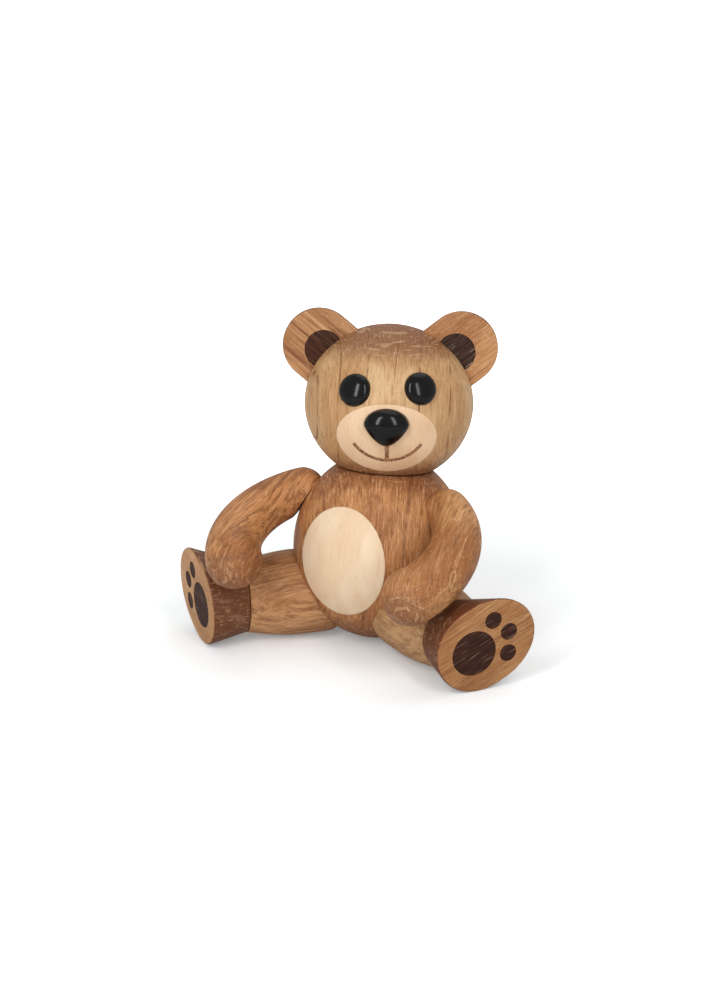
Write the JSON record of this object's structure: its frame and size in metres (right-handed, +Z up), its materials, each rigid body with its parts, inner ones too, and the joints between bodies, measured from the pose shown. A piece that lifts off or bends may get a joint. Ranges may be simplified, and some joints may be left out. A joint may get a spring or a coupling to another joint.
{
  "type": "jointed wooden teddy bear",
  "caption": "Turned wooden teddy bear that sits with its legs apart; head, arms, legs and feet turn on dowels, with pale belly and muzzle inlays and dark paw pads.",
  "frame": {"origin": "middle of the small flat under the body that the bear sits on, at the floor", "axes": "+Z up, the bear looks along -Y, its left side is +X"},
  "size_m": [0.132, 0.0928, 0.1133],
  "materials": {
    "body_oak": "satin oil over reddish oak, grain upright",
    "head_oak": "satin oil over light oak, grain upright",
    "ear_oak": "satin oil over oak, grain along each ear",
    "arm_oak": "satin oil over orange-brown oak with pale wavy bands",
    "leg_oak": "satin oil over light oak, grain along each leg",
    "foot_oak": "satin oil over reddish oak, grain across the sole",
    "pale_maple": "smooth satin maple",
    "dark_wood": "satin dark brown hardwood with fine streaks",
    "black_gloss": "polished black",
    "dowel_beech": "bare turned beech",
    "bush_rubber": "dark matte rubber"
  },
  "bodies": {
    "torso": {"body": "body_oak", "belly_inlay": "pale_maple", "neck_bush": "bush_rubber", "shoulder_bush_left": "bush_rubber", "shoulder_bush_right": "bush_rubber", "hip_bush_left": "bush_rubber", "hip_bush_right": "bush_rubber"},
    "head_group": {"head": "head_oak", "muzzle_inlay": "pale_maple", "nose": "black_gloss", "eye_left": "black_gloss", "eye_right": "black_gloss", "ear_left": "ear_oak", "ear_right": "ear_oak", "ear_inlay_left": "dark_wood", "ear_inlay_right": "dark_wood", "neck_dowel": "dowel_beech"},
    "left_arm": {"arm_left": "arm_oak", "shoulder_dowel_left": "dowel_beech"},
    "right_arm": {"arm_right": "arm_oak", "shoulder_dowel_right": "dowel_beech"},
    "left_leg": {"leg_left": "leg_oak", "hip_dowel_left": "dowel_beech", "ankle_bush_left": "bush_rubber"},
    "right_leg": {"leg_right": "leg_oak", "hip_dowel_right": "dowel_beech", "ankle_bush_right": "bush_rubber"},
    "left_foot": {"foot_left": "foot_oak", "ankle_dowel_left": "dowel_beech", "paw_pad_left": "dark_wood", "toe_pad_inner_left": "dark_wood", "toe_pad_middle_left": "dark_wood", "toe_pad_outer_left": "dark_wood"},
    "right_foot": {"foot_right": "foot_oak", "ankle_dowel_right": "dowel_beech", "paw_pad_right": "dark_wood", "toe_pad_inner_right": "dark_wood", "toe_pad_middle_right": "dark_wood", "toe_pad_outer_right": "dark_wood"}
  },
  "joints": [
    {"name": "neck_turn", "type": "hinge", "parent": "torso", "child": "head_group", "pos_m": [0, 0.00495, 0.05882], "axis": [0, 0.153, 0.9882], "continuous": true},
    {"name": "shoulder_left", "type": "hinge", "parent": "torso", "child": "left_arm", "pos_m": [0.0238, -0.00209, 0.04942], "axis": [-0.8466, 0.1184, -0.5188], "range_deg": [0, 54]},
    {"name": "shoulder_right", "type": "hinge", "parent": "torso", "child": "right_arm", "pos_m": [-0.0238, -0.00209, 0.04942], "axis": [-0.8466, -0.1184, 0.5188], "range_deg": [0, 54]},
    {"name": "hip_left", "type": "hinge", "parent": "torso", "child": "left_leg", "pos_m": [0.0252, -0.0162, 0.0152], "axis": [0.8261, -0.5635, -0.0027], "range_deg": [-25, 25]},
    {"name": "hip_right", "type": "hinge", "parent": "torso", "child": "right_leg", "pos_m": [-0.0263, -0.0138, 0.0152], "axis": [0.7672, 0.6414, 0.0005], "range_deg": [-25, 25]},
    {"name": "ankle_left", "type": "hinge", "parent": "left_leg", "child": "left_foot", "pos_m": [0.03982, -0.02617, 0.01515], "axis": [-0.8261, 0.5635, 0.0027], "range_deg": [-65, 25]},
    {"name": "ankle_right", "type": "hinge", "parent": "right_leg", "child": "right_foot", "pos_m": [-0.03988, -0.02515, 0.01519], "axis": [-0.7672, -0.6414, -0.0005], "range_deg": [-65, 25]}
  ]
}
